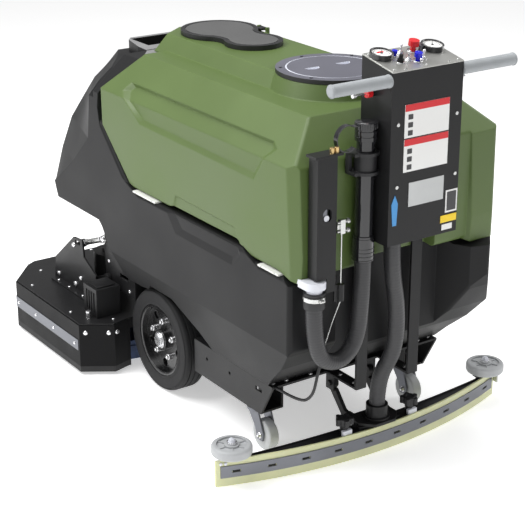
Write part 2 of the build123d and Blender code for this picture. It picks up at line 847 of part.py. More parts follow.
def squeegee_arm():
    side = [(490, 150), (520, 150), (560, 104), (600, 92), (600, 84), (552, 84), (500, 140)]
    arm = both_sides(slab_x(side, 54, 65.4))
    yoke = slab_z([(65.4, 556), (65.4, 628), (34, 662), (-34, 662), (-65.4, 628), (-65.4, 556)],
                  84, 92)
    arm += yoke
    arm -= rod((0, port_y, 80), (0, port_y, 100), 30 + running)
    arm -= block(-40, 40, 540, 575, 80, 100)
    eye = rod((54, squeegee_pivot_y, squeegee_pivot_z), (65.4, squeegee_pivot_y, squeegee_pivot_z),
              17)
    pin = rod((54, squeegee_pivot_y, squeegee_pivot_z), (78, squeegee_pivot_y, squeegee_pivot_z), 8)
    arm += both_sides(eye + pin)
    return arm


def squeegee_body():
    body = faceted_band(rear_arc(5.5), front_arc(-0.5), 438, 60, 74)
    body -= faceted_band(rear_arc(9.5), front_arc(-4.5), 430, 70, 80)
    body += faceted_band(rear_arc(5.5), rear_arc(9.5), 474, 24, 74)
    body += faceted_band(front_arc(-4.5), front_arc(-0.5), 438, 24, 74)
    body += slab_z([(70, 604), (70, 636), (44, 643), (-44, 643), (-70, 636), (-70, 604)], 66, 83)
    fittings = rod((112, 624, 66), (112, 624, 90), 11)
    fittings += rod((112, 624, 80), (112, 624, 112), 5)
    fittings += block(404, 458, 560, 586, 78, 84)
    fittings += block(404, 424, 572.2, 577, 66, 80)
    fittings += rod((bumper_x, bumper_y, 80), (bumper_x, bumper_y, 126), 7)
    fittings += rod((bumper_x, bumper_y, 80), (bumper_x, bumper_y, 90), 12)
    fittings += rod((bumper_x, bumper_y, 120), (bumper_x, bumper_y, 126), 13)
    body += both_sides(fittings)
    body += rod((0, port_y, 78), (0, port_y, 132), 30)
    body += rod((0, port_y, 92.6), (0, port_y, 98), 36)
    body -= rod((0, port_y, 50), (0, port_y, 125), 24)
    body += block(-474, -462, 547, 561, 42, 62)
    body += rod((-468, 552, 50), (-488, 552, 50), 3)
    return body


def squeegee_blade_rear():
    return arc_band(rear_arc(0), rear_arc(5), squeegee_half, 1.5, 77)


def squeegee_blade_front():
    return arc_band(front_arc(0), front_arc(5), 446, 2, 70)


def squeegee_strap():
    centre = rear_arc_y - rear_arc_radius
    strap = arc_band(rear_arc(-2.5), rear_arc(0), 470, 26, 60)
    for k in range(10):
        angle = math.radians((k - 4.5) * 4.05)
        x = (rear_arc_radius + 2) * math.sin(angle)
        y = centre + (rear_arc_radius + 2) * math.cos(angle)
        slot = Pos(x, y, 43) * Rot(0, 0, -math.degrees(angle)) * Box(24, 12, 7)
        strap -= slot
    return strap


def bumper_wheel():
    z0 = bumper_z - bumper_width / 2
    z1 = bumper_z + bumper_width / 2
    wheel = pipe((bumper_x, bumper_y, z0), (bumper_x, bumper_y, z1), bumper_radius, 7 + running)
    wheel -= pipe((bumper_x, bumper_y, z1 - 5), (bumper_x, bumper_y, z1 + 1), 40, 20)
    edges = [e for e in wheel.edges().filter_by(GeomType.CIRCLE) if e.radius > 50]
    return soften(wheel, edges, 8)


def star_knob():
    z0 = 91
    knob = rod((112, 624, z0), (112, 624, z0 + 12), 12)
    knob += rod((112, 624, z0 + 12), (112, 624, z0 + 30), 19)
    for k in range(5):
        a = math.radians(72 * k)
        x = 112 + 19 * math.cos(a)
        y = 624 + 19 * math.sin(a)
        knob += rod((x, y, z0 + 12), (x, y, z0 + 30), 7)
    knob -= rod((112, 624, z0 - 1), (112, 624, z0 + 24), 5 + running)
    return knob


def squeegee_latch():
    latch = block(-487.5, -482, 545, 580, 43, 57)
    latch += block(-487.5, -482, 568, 580, 43, 70)
    latch -= rod((-490, 552, 50), (-470, 552, 50), 3 + running)
    return latch


# ---- scrub deck ----
deck_half = [
    (0, -half_length), (325, -half_length), (357, -765), (deck_x, -658), (deck_x, -232),
    (362, -174), (308, -190), (0, -190),
]
deck_outline = mirrored_outline(deck_half[1:-1])
deck_pin_y = arm_pivot_y + arm_reach_y
deck_pin_z = arm_pivot_z + arm_reach_z


def deck_arms():
    shape = rod((-299, arm_pivot_y, arm_pivot_z), (299, arm_pivot_y, arm_pivot_z), 10)
    side = [
        (arm_pivot_y + 4, arm_pivot_z + 14), (deck_pin_y + 4, deck_pin_z + 13),
        (deck_pin_y - 4, deck_pin_z - 13), (arm_pivot_y - 4, arm_pivot_z - 14),
    ]
    arm = slab_x(side, 288, 299)
    arm += rod((288, arm_pivot_y, arm_pivot_z), (299, arm_pivot_y, arm_pivot_z), 16)
    arm += rod((288, deck_pin_y, deck_pin_z), (299, deck_pin_y, deck_pin_z), 15)
    arm -= rod((280, deck_pin_y, deck_pin_z), (305, deck_pin_y, deck_pin_z), 7 + running)
    return shape + both_sides(arm)


def deck_link():
    rear = Vector(297, arm_pivot_y, link_pivot_z)
    front = Vector(297, deck_pin_y, link_pivot_z + arm_reach_z)
    along = (front - rear).normalized()
    link = rod(tuple(rear + along * 30), tuple(front - along * 30), 9)
    link += rod(tuple(rear), tuple(rear + along * 30), 5)
    link += rod(tuple(front - along * 30), tuple(front), 5)
    for end in (rear, front):
        eye = rod((290, end.Y, end.Z), (304, end.Y, end.Z), 13)
        link += eye
    link -= rod((280, rear.Y, rear.Z), (310, rear.Y, rear.Z), 6 + running)
    link -= rod((280, front.Y, front.Z), (310, front.Y, front.Z), 6.4)
    return both_sides(link)


def scrub_deck():
    plate = slab_z(deck_outline, deck_top - 7, deck_top, 3.5)
    plate += slab_z(deck_outline, deck_top - 34, deck_top, 3.5) - slab_z(
        deck_outline, deck_top - 40, deck_top + 1, 8)
    for side in (-1, 1):
        plate += rod((side * brush_x, brush_y, 130), (side * brush_x, brush_y, deck_top), 40)
        plate -= rod((side * brush_x, brush_y, 120), (side * brush_x, brush_y, 180), 14 + running)
    bracket_side = [
        (-621, deck_top), (-611, 237), (-480, 342), (-424, 347), (-418, 293), (-344, 256),
        (-350, deck_top),
    ]
    bracket = slab_x(bracket_side, 322, 328)
    bracket -= block(320, 330, -470, -438, 324, 336)
    bracket += rod((286, deck_pin_y, deck_pin_z), (322, deck_pin_y, deck_pin_z), 7)
    top_z = link_pivot_z + arm_reach_z
    bracket += rod((288, deck_pin_y, top_z), (322, deck_pin_y, top_z), 6)
    bracket += block(328, 352, -600, -380, deck_top, deck_top + 6)
    plate += both_sides(bracket)
    post = rod((401, -262, deck_top), (401, -262, deck_top + 22), 8)
    plate += both_sides(post)
    return plate


def side_skirts():
    ring = slab_z(deck_outline, 28, deck_top - 4) - slab_z(deck_outline, 20, deck_top, 3.5)
    ring -= block(-300, 300, -240, -100, 20, deck_top)
    return ring


def skirt_strips():
    lip = slab_z(deck_outline, 10, 28) - slab_z(deck_outline, 5, 30, 3.5)
    lip -= block(-300, 300, -240, -100, 0, 100)
    grown = offset(make_face(Polyline(*[(x, y, 78) for x, y in deck_outline], close=True)),
                   amount=1.6, kind=Kind.INTERSECTION)
    strip = extrude(grown, amount=34, dir=(0, 0, 1)) - slab_z(deck_outline, 70, 130)
    strip &= block(-460, 460, -764, -240, 70, 130)
    return lip + strip


def brush_motors():
    shape = Part()
    for side in (-1, 1):
        x = side * brush_x
        shape += rod((x, brush_y, deck_top), (x, brush_y, 286), 56)
        shape += rod((x, brush_y, 286), (x, brush_y, 298), 30)
        shape -= rod((x, brush_y, 150), (x, brush_y, 200), 14 + running)
        gear = block(min(side * 304, side * 384), max(side * 304, side * 384), -318, -238,
                     deck_top, 256)
        shape += gear
    return shape


def brush():
    shape = rod((brush_x, brush_y, 2), (brush_x, brush_y, 46), brush_radius)
    shape -= rod((brush_x, brush_y, 0), (brush_x, brush_y, 46), 60)
    shape += rod((brush_x, brush_y, 46), (brush_x, brush_y, 62), brush_radius - 3)
    shape += rod((brush_x, brush_y, 62), (brush_x, brush_y, 110), 50)
    shape += rod((brush_x, brush_y, 110), (brush_x, brush_y, 190), 14)
    return shape


# ---- write every node ----
tyre_left = tyre()
rim_left = rim()
fork_left = caster_fork()
caster_left = caster_wheel()
bumper_left = bumper_wheel()
knob_left = star_knob()
brush_left = brush()

nodes = {
    "chassis_frame": chassis_frame(),
    "transaxle": transaxle(),
    "solution_tank": solution_tank(),
    "recovery_tank": recovery_tank(),
    "tank_pads": tank_pads(),
    "hourglass_lid": hourglass_lid(),
    "round_lid": round_lid(),
    "control_column": control_column(),
    "control_panel": control_panel(),
    "gauges": gauges(),
    "cover_screws": cover_screws(),
    "label_plates": label_plates(),
    "handlebar": handlebar(),
    "hand_grips": hand_grips(),
    "trigger_left": trigger(1),
    "trigger_right": trigger(-1),
    "button_small": push_button(43, 698, 5, 7, 7, 7),
    "button_large": push_button(6, 742, 6, 10, 10, 12),
    "emergency_button": push_button(-22, 689, 7, 13.5, 14, 14),
    "key_switch": key_switch(),
    "toggle_a": toggle(26, 731),
    "toggle_b": toggle(-15, 737),
    "toggle_c": toggle(18, 690),
    "lift_channel": lift_channel(),
    "lift_actuator": lift_actuator(),
    "lift_clevis": lift_clevis(),
    "cable_sheath": cable_sheath(),
    "hose_hanger": hose_hanger(),
    "drain_tube": drain_tube(),
    "drain_cap": drain_cap(),
    "drain_hose": drain_hose(),
    "vacuum_hose": vacuum_hose(),
    "batteries": batteries(),
    "vacuum_motor": vacuum_motor(),
    "tyre_left": tyre_left,
    "tyre_right": opposite(tyre_left),
    "rim_left": rim_left,
    "rim_right": opposite(rim_left),
    "caster_fork_left": fork_left,
    "caster_fork_right": opposite(fork_left),
    "caster_wheel_left": caster_left,
    "caster_wheel_right": opposite(caster_left),
    "squeegee_arm": squeegee_arm(),
    "squeegee_body": squeegee_body(),
    "squeegee_blade_rear": squeegee_blade_rear(),
    "squeegee_blade_front": squeegee_blade_front(),
    "squeegee_strap": squeegee_strap(),
    "bumper_wheel_left": bumper_left,
    "bumper_wheel_right": opposite(bumper_left),
    "star_knob_left": knob_left,
    "star_knob_right": opposite(knob_left),
    "squeegee_latch": squeegee_latch(),
    "deck_arms": deck_arms(),
    "deck_link": deck_link(),
    "scrub_deck": scrub_deck(),
    "side_skirts": side_skirts(),
    "skirt_strips": skirt_strips(),
    "brush_motors": brush_motors(),
    "brush_left": brush_left,
    "brush_right": opposite(brush_left),
}

os.makedirs("parts", exist_ok=True)
for name, shape in nodes.items():
    export_step(shape, "parts/" + name + ".step")
    box = shape.bounding_box()
    low = [round(v, 1) for v in (box.min.X, box.min.Y, box.min.Z)]
    high = [round(v, 1) for v in (box.max.X, box.max.Y, box.max.Z)]
    print(name, low, high, "solids", len(shape.solids()), "valid", shape.is_valid)
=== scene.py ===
import json
import math

import bmesh
import bpy
from mathutils import Matrix, Vector

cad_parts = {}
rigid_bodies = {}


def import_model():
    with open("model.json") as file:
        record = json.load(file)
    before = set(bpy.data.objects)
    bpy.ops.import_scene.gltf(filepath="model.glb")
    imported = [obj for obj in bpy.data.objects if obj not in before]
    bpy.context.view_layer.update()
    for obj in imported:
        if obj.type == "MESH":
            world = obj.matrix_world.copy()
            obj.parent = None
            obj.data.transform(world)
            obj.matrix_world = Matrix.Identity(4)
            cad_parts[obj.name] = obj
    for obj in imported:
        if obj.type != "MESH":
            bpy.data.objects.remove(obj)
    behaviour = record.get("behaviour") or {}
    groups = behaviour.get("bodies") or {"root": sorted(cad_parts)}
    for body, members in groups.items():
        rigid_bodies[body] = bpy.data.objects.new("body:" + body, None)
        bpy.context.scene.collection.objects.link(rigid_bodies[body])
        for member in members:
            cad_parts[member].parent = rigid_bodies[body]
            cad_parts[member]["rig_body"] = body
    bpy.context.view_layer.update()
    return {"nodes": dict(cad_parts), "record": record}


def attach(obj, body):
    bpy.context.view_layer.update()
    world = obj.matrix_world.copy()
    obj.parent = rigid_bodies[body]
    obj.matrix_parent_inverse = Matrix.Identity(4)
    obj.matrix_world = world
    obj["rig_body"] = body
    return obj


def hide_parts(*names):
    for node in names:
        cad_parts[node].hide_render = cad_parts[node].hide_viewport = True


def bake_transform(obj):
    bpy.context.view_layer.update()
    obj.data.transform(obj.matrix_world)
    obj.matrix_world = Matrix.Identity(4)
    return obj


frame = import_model()
nodes = frame["nodes"]
scene = bpy.context.scene

# ---- camera: low behind the machine's left rear corner ----
CAMERA_PLACE = Vector((2.2901, 3.4067, 1.9383))
CAMERA_LINE = Vector((-0.528, -0.7676, -0.3632))
camera_data = bpy.data.cameras.new("camera")
camera_data.sensor_width = 36.0
camera_data.lens = 101.76
camera = bpy.data.objects.new("camera", camera_data)
camera.location = CAMERA_PLACE
camera.rotation_euler = CAMERA_LINE.to_track_quat("-Z", "Y").to_euler()
scene.collection.objects.link(camera)
scene.camera = camera


# ---- materials ----
def tone(red, green, blue):
    """A display colour, 0 to 255, as the linear colour that shaders take."""
    def linear(value):
        value /= 255.0
        return value / 12.92 if value < 0.04045 else ((value + 0.055) / 1.055) ** 2.4
    return (linear(red), linear(green), linear(blue), 1.0)


def scaled(colour, factor):
    return tuple(min(1.0, channel * factor) for channel in colour[:3]) + (1.0,)


def material(name, colour, rough, metal=0.0, vary=0.10, patch=9.0, grain=900.0, bump=0.12,
             edge=1.35, edge_radius=0.0014, coat=0.0, stretch=(1, 1, 1), speck=0.0,
             translucent=0.0, specular=0.5):
    """A procedural finish: patchy colour and roughness, a fine grain, and a painted highlight that lightens
    the colour along edges.
    """
    made = bpy.data.materials.new(name)
    made.use_nodes = True
    tree = made.node_tree
    shader = tree.nodes["Principled BSDF"]
    shader.inputs["Specular IOR Level"].default_value = specular
    shader.inputs["Metallic"].default_value = metal
    if coat:
        shader.inputs["Coat Weight"].default_value = coat
        shader.inputs["Coat Roughness"].default_value = 0.15
    if translucent:
        shader.inputs["Subsurface Weight"].default_value = translucent
        shader.inputs["Subsurface Radius"].default_value = (0.01, 0.008, 0.004)
        shader.inputs["Subsurface Scale"].default_value = 0.5

    def node(kind):
        return tree.nodes.new("ShaderNode" + kind)

    link = tree.links.new
    place = node("TexCoord")
    mapping = node("Mapping")
    mapping.inputs["Scale"].default_value = stretch
    link(place.outputs["Object"], mapping.inputs["Vector"])
    cloud = node("TexNoise")
    cloud.inputs["Scale"].default_value = patch
    cloud.inputs["Detail"].default_value = 5.0
    link(place.outputs["Object"], cloud.inputs["Vector"])
    fine = node("TexNoise")
    fine.inputs["Scale"].default_value = grain
    fine.inputs["Detail"].default_value = 3.0
    link(mapping.outputs["Vector"], fine.inputs["Vector"])
    shades = node("MapRange")
    shades.inputs["From Min"].default_value = 0.3
    shades.inputs["From Max"].default_value = 0.7
    shades.inputs["To Min"].default_value = 0.0
    shades.inputs["To Max"].default_value = 1.0
    link(cloud.outputs["Fac"], shades.inputs["Value"])
    body = node("Mix")
    body.data_type = "RGBA"
    body.inputs["A"].default_value = scaled(colour, 1.0 - vary)
    body.inputs["B"].default_value = scaled(colour, 1.0 + vary)
    link(shades.outputs["Result"], body.inputs["Factor"])
    coloured = body.outputs["Result"]
    if speck:
        dots = node("MapRange")
        dots.inputs["From Min"].default_value = 0.60
        dots.inputs["From Max"].default_value = 0.72
        dots.inputs["To Max"].default_value = speck
        link(fine.outputs["Fac"], dots.inputs["Value"])
        flecks = node("Mix")
        flecks.data_type = "RGBA"
        flecks.inputs["B"].default_value = scaled(colour, 2.2)
        link(dots.outputs["Result"], flecks.inputs["Factor"])
        link(coloured, flecks.inputs["A"])
        coloured = flecks.outputs["Result"]
    # Painted highlight: where the bevelled normal turns away from the face normal, the base colour is
    # lightened by the edge factor
    rounded = node("Bevel")
    rounded.samples = 4
    rounded.inputs["Radius"].default_value = edge_radius
    flat = node("NewGeometry")
    turned = node("VectorMath")
    turned.operation = "DOT_PRODUCT"
    link(rounded.outputs["Normal"], turned.inputs[0])
    link(flat.outputs["Normal"], turned.inputs[1])
    edge_highlight_mask = node("MapRange")
    edge_highlight_mask.inputs["From Min"].default_value = 0.995
    edge_highlight_mask.inputs["From Max"].default_value = 0.80
    link(turned.outputs["Value"], edge_highlight_mask.inputs["Value"])
    bright = node("Mix")
    bright.data_type = "RGBA"
    bright.inputs["B"].default_value = scaled(colour, edge)
    link(edge_highlight_mask.outputs["Result"], bright.inputs["Factor"])
    link(coloured, bright.inputs["A"])
    link(bright.outputs["Result"], shader.inputs["Base Color"])
    gloss = node("MapRange")
    gloss.inputs["From Min"].default_value = 0.3
    gloss.inputs["From Max"].default_value = 0.7
    gloss.inputs["To Min"].default_value = max(0.03, rough - 0.05)
    gloss.inputs["To Max"].default_value = min(1.0, rough + 0.06)
    link(cloud.outputs["Fac"], gloss.inputs["Value"])
    link(gloss.outputs["Result"], shader.inputs["Roughness"])
    relief = node("Bump")
    relief.inputs["Strength"].default_value = bump
    relief.inputs["Distance"].default_value = 0.0006
    link(fine.outputs["Fac"], relief.inputs["Height"])
    link(rounded.outputs["Normal"], relief.inputs["Normal"])
    link(relief.outputs["Normal"], shader.inputs["Normal"])
    return made


# In each finish, edge sets how strongly the painted highlight lightens the colour along edges
finishes = {
    "black_metal": material("powder_coat", tone(33, 33, 34), 0.42, specular=0.22, vary=0.08, grain=1400,
                            bump=0.16, edge=2.4, coat=0.1),
    "charcoal_tank": material("moulded_charcoal", tone(31, 31, 32), 0.46, specular=0.20, vary=0.07, patch=5,
                              grain=700, bump=0.20, edge=1.7, edge_radius=0.004),
    "green_tank": material("moulded_green", tone(86, 106, 55), 0.44, vary=0.06, patch=4,
                           grain=700, bump=0.20, edge=1.35, edge_radius=0.006),
    "pad_white": material("white_pad", tone(236, 236, 232), 0.5, vary=0.04, grain=500, bump=0.1,
                          edge=1.0),
    "panel_metal": material("brushed_panel", tone(186, 186, 182), 0.38, metal=0.75, vary=0.08,
                            grain=700, bump=0.25, edge=1.4, stretch=(0.05, 1, 1)),
    "steel": material("satin_steel", tone(118, 120, 126), 0.34, metal=0.85, vary=0.10, grain=600,
                      bump=0.15, edge=1.3, stretch=(0.1, 1, 1)),
    "grip_grey": material("grip_foam", tone(163, 167, 170), 0.62, vary=0.07, patch=25, grain=1600,
                          bump=0.35, edge=1.1),
    "lid_grey": material("lid_grey", tone(94, 94, 104), 0.50, vary=0.06, grain=1100, bump=0.30,
                         edge=1.3, speck=0.15),
    "black_plastic": material("moulded_black", tone(34, 34, 36), 0.48, vary=0.10, grain=1100,
                              bump=0.20, edge=2.2),
    "gloss_black": material("gloss_black", tone(30, 30, 33), 0.14, vary=0.06, grain=300, bump=0.03,
                            edge=2.0, coat=0.6),
    "hose_rubber": material("hose_rubber", tone(52, 52, 54), 0.40, vary=0.10, patch=30, grain=1200,
                            bump=0.12, edge=1.2),
    "tyre_rubber": material("tyre_rubber", tone(40, 40, 41), 0.68, specular=0.3, vary=0.12,
                            patch=25, grain=1300, bump=0.35, edge=1.5, edge_radius=0.003),
    "wheel_grey": material("wheel_grey", tone(184, 186, 188), 0.45, vary=0.06, patch=30,
                           grain=1100, bump=0.14, edge=1.1),
    "blade_urethane": material("urethane", tone(216, 218, 174), 0.36, vary=0.06, patch=14,
                               grain=500, bump=0.08, edge=1.1, translucent=0.25),
    "skirt_rubber": material("skirt_rubber", tone(26, 26, 27), 0.62, vary=0.12, patch=20,
                             grain=900, bump=0.25, edge=1.8),
    "motor_grey": material("motor_grey", tone(112, 117, 124), 0.36, metal=0.3, vary=0.10,
                           grain=900, bump=0.20, edge=1.5),
    "red_plastic": material("red_plastic", tone(214, 34, 40), 0.28, vary=0.05, grain=500,
                            bump=0.04, edge=1.3),
    "blue_plastic": material("blue_plastic", tone(16, 20, 200), 0.25, vary=0.05, grain=500,
                             bump=0.04, edge=1.3),
    "label": material("label_white", tone(240, 240, 238), 0.35, vary=0.02, grain=300, bump=0.02,
                      edge=1.0),
    "battery_case": material("battery_case", tone(60, 66, 78), 0.5, vary=0.08, grain=700,
                             bump=0.15, edge=1.5),
    "bristle": material("bristle", tone(70, 86, 120), 0.75, vary=0.25, patch=60, grain=500,
                        bump=0.9, edge=1.3, stretch=(1, 1, 0.04)),
    "zinc": material("zinc_plate", tone(205, 206, 204), 0.24, metal=0.9, vary=0.10, patch=60,
                     grain=500, bump=0.10, edge=1.2),
}
chrome = material("bright_nut", tone(238, 238, 240), 0.16, metal=0.92, vary=0.05, patch=80,
                  grain=300, bump=0.04, edge=1.1)
# The rim's edge factor of 5 paints a strong highlight along the rim's edges
rim_black = material("rim_gloss", tone(24, 24, 25), 0.26, vary=0.08, grain=500, bump=0.06,
                     edge=5.0, coat=0.4)
lid_black = material("lid_rim", tone(30, 30, 32), 0.42, vary=0.08, grain=900, bump=0.15, edge=2.2)
lid_centre = material("lid_centre", tone(84, 84, 84), 0.52, vary=0.07, grain=1300, bump=0.35,
                      edge=1.2, speck=0.12)
pale_ring = material("pale_ring", tone(226, 228, 236), 0.40, vary=0.03, grain=500, bump=0.05,
                     edge=1.0)
port_grey = material("port_rim", tone(132, 132, 133), 0.45, vary=0.06, grain=700, bump=0.15,
                     edge=1.5)
label_red = material("label_red", tone(216, 36, 44), 0.35, vary=0.03, grain=300, bump=0.02,
                     edge=1.0)
label_ink = material("label_ink", tone(60, 60, 62), 0.4, vary=0.05, grain=300, bump=0.02,
                     edge=1.0)
label_yellow = material("label_yellow", tone(250, 214, 30), 0.35, vary=0.03, grain=300, bump=0.02,
                        edge=1.0)
label_silver = material("label_silver", tone(190, 192, 192), 0.32, metal=0.4, vary=0.08,
                        grain=500, bump=0.08, edge=1.1, stretch=(0.1, 1, 1))
sky_blue = material("decal_blue", tone(70, 150, 214), 0.35, vary=0.05, grain=300, bump=0.02,
                    edge=1.1)
brass = material("brass_nut", tone(214, 184, 130), 0.26, metal=0.9, vary=0.08, patch=60,
                 grain=400, bump=0.06, edge=1.2)
skirt_black = material("skirt_shell", tone(22, 22, 23), 0.5, specular=0.12, vary=0.10, patch=12, grain=1000,
                       bump=0.18, edge=2.0)
slot_dark = material("dark_inside", tone(14, 14, 15), 0.7, vary=0.1, grain=500, bump=0.1, edge=1.2)

for part in frame["record"]["subparts"]:
    mesh = nodes[part["node"]].data
    mesh.materials.clear()
    mesh.materials.append(finishes[part["material_slot"]])


def paint(name, finish, chosen):
    """Gives a CAD node's faces that the test picks their own finish."""
    mesh = nodes[name].data
    mesh.materials.append(finish)
    index = len(mesh.materials) - 1
    for polygon in mesh.polygons:
        if chosen(polygon.center, polygon.normal):
            polygon.material_index = index


MM = 0.001
PANEL_SLOPE = math.atan2(23, 117)
PANEL_NORMAL = Vector((0, math.sin(PANEL_SLOPE), math.cos(PANEL_SLOPE)))


def on_panel(x, y, lift=0.0):
    """A point above the control panel's sloping face; x, y and lift in millimetres."""
    foot = Vector((x, y, 1113 - (y - 661) * math.tan(PANEL_SLOPE)))
    return (foot + PANEL_NORMAL * lift) * MM


def near_panel(x, y, reach):
    centre = on_panel(x, y)
    return lambda c, n: (c - centre).cross(PANEL_NORMAL).length < reach * MM


# faces of CAD nodes that have a finish of their own
paint("skirt_strips", finishes["steel"], lambda c, n: c.z > 0.07)
paint("solution_tank", port_grey, lambda c, n: c.z > 0.9385 and abs(c.x) < 0.156 and c.y > -0.470)
paint("recovery_tank", pale_ring, lambda c, n: c.x > 0.25 and c.y > 0.688 and c.z < 0.5865)
paint("hourglass_lid", lid_black, lambda c, n: True)
LID_X = -0.006
BIG_LOBE = (-0.15, 0.112)
SMALL_LOBE = (0.025, 0.083)
WAIST_CUT = (0.129, -0.0364, 0.060)
LID_INSET = 0.0125


def inside_groove(c):
    """True within the hourglass that the lid's groove draws."""
    across = abs(c.x - LID_X)
    lobes = min(math.hypot(across, c.y - y) - radius for y, radius in (BIG_LOBE, SMALL_LOBE))
    waist = -1 if -0.085 < c.y < -0.005 and across < 0.06 else 1
    if min(lobes + LID_INSET, waist) > 0:
        return False
    cut_x, cut_y, cut_radius = WAIST_CUT
    return math.hypot(across - cut_x, c.y - cut_y) > cut_radius + LID_INSET


paint("hourglass_lid", lid_centre, lambda c, n: n.z > 0.9 and inside_groove(c))
paint("round_lid", lid_black, lambda c, n: n.z < 0.5)
paint("round_lid", pale_ring, lambda c, n: c.z > 1.003 and 0.1175 < math.hypot(c.x, c.y - 0.396)
      < 0.1225 and c.z < 1.0119)
paint("round_lid", pale_ring, lambda c, n: 1.002 < c.z < 1.0118 and math.hypot(
    abs(c.x) - 0.05, c.y - 0.372) < 0.0226)
paint("lift_channel", brass, lambda c, n: c.z > 0.9055)
paint("lift_actuator", pale_ring, lambda c, n: c.y > 0.7325)
paint("squeegee_body", chrome, lambda c, n: c.z > 0.1195 and abs(c.x) > 0.4)
paint("gauges", slot_dark, lambda c, n: c.x > 0.04 and (
    c - on_panel(54, 735)).cross(PANEL_NORMAL).length < 0.02)
for x in (80, -79):
    inside = near_panel(x, 694, 25.2)
    paint("gauges", finishes["label"], lambda c, n, inside=inside: inside(c, n)
          and (c - on_panel(0, 694)).dot(PANEL_NORMAL) < 0.0105 and n.dot(PANEL_NORMAL) > 0.5)
for name in ("trigger_left", "trigger_right"):
    paint(name, chrome, lambda c, n: abs(c.x) > 0.1345)
for name in ("rim_left", "rim_right"):
    paint(name, rim_black, lambda c, n: True)
    paint(name, chrome, lambda c, n: abs(c.x) > 0.2782 and 0.044 < math.hypot(
        c.y + 0.023, c.z - 0.1535) < 0.066)
paint("transaxle", chrome, lambda c, n: abs(c.x) > 0.29)
for name in ("toggle_a", "toggle_b", "toggle_c"):
    paint(name, chrome, lambda c, n: True)
paint("side_skirts", skirt_black, lambda c, n: True)
paint("brush_motors", finishes["black_metal"], lambda c, n: True)
paint("scrub_deck", chrome, lambda c, n: c.z > 0.1655 and 0.39 < abs(c.x) < 0.412 and c.y > -0.272)
paint("label_plates", label_silver, lambda c, n: 0.744 < c.z < 0.808 and -0.063 < c.x < 0.051)
paint("label_plates", label_yellow, lambda c, n: 0.680 < c.z < 0.701)
paint("label_plates", sky_blue, lambda c, n: c.x > 0.08)


# ---- mesh helpers ----
def place_piece(name, bm, body, finish, flat=False):
    """A finished mesh becomes a named piece that rides on a CAD body."""
    bmesh.ops.recalc_face_normals(bm, faces=bm.faces)
    mesh = bpy.data.meshes.new(name)
    bm.to_mesh(mesh)
    bm.free()
    mesh.materials.append(finish)
    obj = bpy.data.objects.new(name, mesh)
    scene.collection.objects.link(obj)
    if not flat:
        mesh.polygons.foreach_set("use_smooth", [True] * len(mesh.polygons))
        mesh.set_sharp_from_angle(angle=math.radians(38))
    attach(obj, body)
    return obj


def frame_of(axis):
    axis = Vector(axis).normalized()
    side = axis.orthogonal().normalized()
    return axis, side, axis.cross(side)


def lathe(bm, profile, origin, axis, steps=28, turn=0.0):
    """Turns a profile of (radius, height) points, in millimetres, about an axis."""
    axis, side, across = frame_of(axis)
    origin = Vector(origin)
    rings = []
    for radius, height in profile:
        if radius < 1e-6:
            rings.append([bm.verts.new(origin + axis * height * MM)])
            continue
        ring = []
        for k in range(steps):
            angle = turn + 2 * math.pi * k / steps
            out = side * math.cos(angle) + across * math.sin(angle)
            ring.append(bm.verts.new(origin + axis * height * MM + out * radius * MM))
        rings.append(ring)
    for low, high in zip(rings, rings[1:]):
        for k in range(steps):
            k2 = (k + 1) % steps
            face = [low[k % len(low)], low[k2 % len(low)], high[k2 % len(high)],
                    high[k % len(high)]]
            face = list(dict.fromkeys(face))
            if len(face) > 2:
                bm.faces.new(face)


def slab(bm, centre, along, across, length, width, thick, corner=0.0, steps=4):
    """A plate with rounded corners, its back at centre, in millimetres except centre."""
    along = Vector(along).normalized()
    across = Vector(across).normalized()
    normal = along.cross(across)
    centre = Vector(centre)
    outline = []
    half_l, half_w = length / 2, width / 2
    corner = max(corner, 0.01)
    for quarter, (sx, sy) in enumerate(((1, 1), (-1, 1), (-1, -1), (1, -1))):
        for k in range(steps + 1):
            angle = math.pi / 2 * (quarter + k / steps)
            outline.append((sx * (half_l - corner) + corner * math.cos(angle),
                            sy * (half_w - corner) + corner * math.sin(angle)))
    chamfer = min(0.3, thick * 0.3)
    levels = ((0, 0), (0, thick - chamfer), (chamfer, thick))
    rings = []
    for inset, height in levels:
        ring = []
        for a, b in outline:
            shrink_a = a * (1 - inset / half_l)
            shrink_b = b * (1 - inset / half_w)
            ring.append(bm.verts.new(
                centre + (along * shrink_a + across * shrink_b + normal * height) * MM))
        rings.append(ring)
    count = len(outline)
    for low, high in zip(rings, rings[1:]):
        for k in range(count):
            bm.faces.new((low[k], low[(k + 1) % count], high[(k + 1) % count], high[k]))
    bm.faces.new(rings[0])
    bm.faces.new(rings[-1])


DOME = ((1.0, 0.0), (1.0, 0.12), (0.92, 0.38), (0.70, 0.56), (0.38, 0.66), (0.0, 0.70))
NUT = ((1.30, 0.0), (1.30, 0.10), (1.0, 0.12), (1.0, 0.70), (0.90, 0.82), (0.55, 0.82),
       (0.55, 1.0), (0.45, 1.08), (0.0, 1.08))


def fastener(bm, shape, radius, origin, axis, steps=20):
    lathe(bm, [(r * radius, h * radius) for r, h in shape], origin, axis, steps)


# ---- cords ----
def route_curve(name, points, depth):
    """A smooth spline whose control points are the route's points."""
    curve = bpy.data.curves.new(name, "CURVE")
    curve.dimensions = "3D"
    curve.resolution_u = 16
    curve.bevel_depth = depth
    curve.bevel_resolution = 6
    curve.use_fill_caps = True
    spline = curve.splines.new("NURBS")
    spline.points.add(len(points) - 1)
    for point, place in zip(spline.points, points):
        point.co = (*place, 1.0)
    spline.order_u = 3
    spline.use_endpoint_u = True
    obj = bpy.data.objects.new(name, curve)
    scene.collection.objects.link(obj)
    return obj


